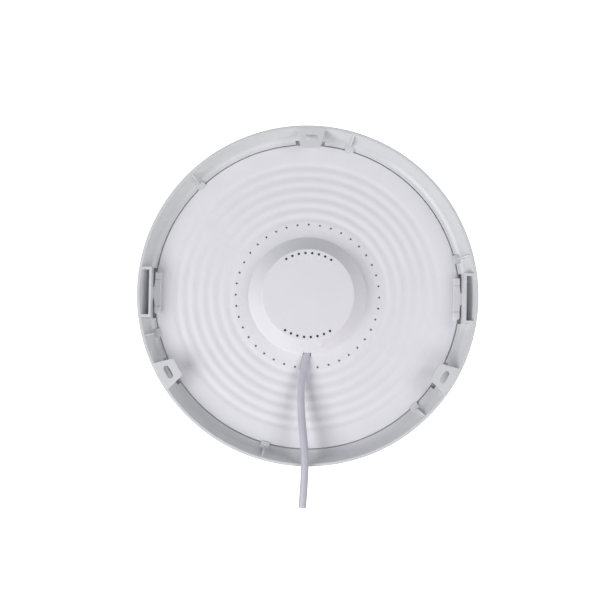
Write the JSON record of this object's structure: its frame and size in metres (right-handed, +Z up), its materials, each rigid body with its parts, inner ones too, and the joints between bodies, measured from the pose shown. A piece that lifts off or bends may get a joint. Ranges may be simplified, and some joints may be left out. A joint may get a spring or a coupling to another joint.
{
  "type": "ceiling light",
  "caption": "Round white surface-mounted ceiling light: a slotted mounting ring, and a snap-in lamp with rippled back, vented raised middle, opal diffuser and short mains lead.",
  "frame": {"origin": "centre of the ceiling plane, on the light's axis, level with the upper faces of the three lugs", "axes": "+Z up into the ceiling, +Y towards the lug opposite the mains lead, +X towards the right-hand latch"},
  "size_m": [0.3, 0.3361, 0.0558],
  "materials": {
    "ring_plastic": "satin white",
    "cover_plastic": "satin white",
    "opal": "satin opal",
    "steel": "plain",
    "board_metal": "white solder mask",
    "phosphor": "satin",
    "lens_clear": "clear gloss",
    "plug_white": "gloss",
    "lead_red": "satin",
    "board_resin": "matt",
    "dish_white": "matt",
    "terminal_green": "gloss",
    "fuse_ceramic": "gloss",
    "varistor_blue": "gloss",
    "film_yellow": "gloss",
    "ferrite": "matt",
    "package_black": "satin",
    "can_black": "gloss sleeve",
    "winding_tape": "gloss tape",
    "cord_lilac": "satin",
    "core_blue": "satin",
    "core_brown": "satin",
    "clamp_black": "matt"
  },
  "bodies": {
    "ring": {"mounting_ring": "ring_plastic"},
    "lamp": {"back_cover": "cover_plastic", "diffuser": "opal", "diffuser_screws": "steel", "led_board": "board_metal", "led_chips": "phosphor", "led_lenses": "lens_clear", "led_board_screws": "steel", "led_connector": "plug_white", "led_leads": "lead_red", "driver_board": "board_resin", "driver_board_screws": "steel", "driver_cover": "dish_white", "driver_cover_screws": "steel", "input_terminal": "terminal_green", "fuse": "fuse_ceramic", "varistor": "varistor_blue", "film_capacitor": "film_yellow", "choke": "ferrite", "bridge_rectifier": "package_black", "driver_chip": "package_black", "output_diode": "package_black", "input_capacitor": "can_black", "output_capacitor": "can_black", "transformer_core": "ferrite", "transformer_winding": "winding_tape", "cord": "cord_lilac", "cord_tail": "cord_lilac", "neutral_core": "core_blue", "live_core": "core_brown", "cord_clamp": "clamp_black", "cord_clamp_screws": "steel"},
    "latch_left": {"latch_left": "cover_plastic"},
    "latch_right": {"latch_right": "cover_plastic"}
  },
  "joints": [
    {"name": "lamp_drop", "type": "slide", "parent": "ring", "child": "lamp", "axis": [0, 0, -1], "range_m": [0, 0.04], "deforming": ["cord", "latch_left", "latch_right"]},
    {"name": "latch_left_press", "type": "slide", "parent": "lamp", "child": "latch_left", "axis": [1, 0, 0], "range_m": [0, 0.002], "stiffness_N_per_m": 6000},
    {"name": "latch_right_press", "type": "slide", "parent": "lamp", "child": "latch_right", "axis": [-1, 0, 0], "range_m": [0, 0.002], "stiffness_N_per_m": 6000}
  ]
}
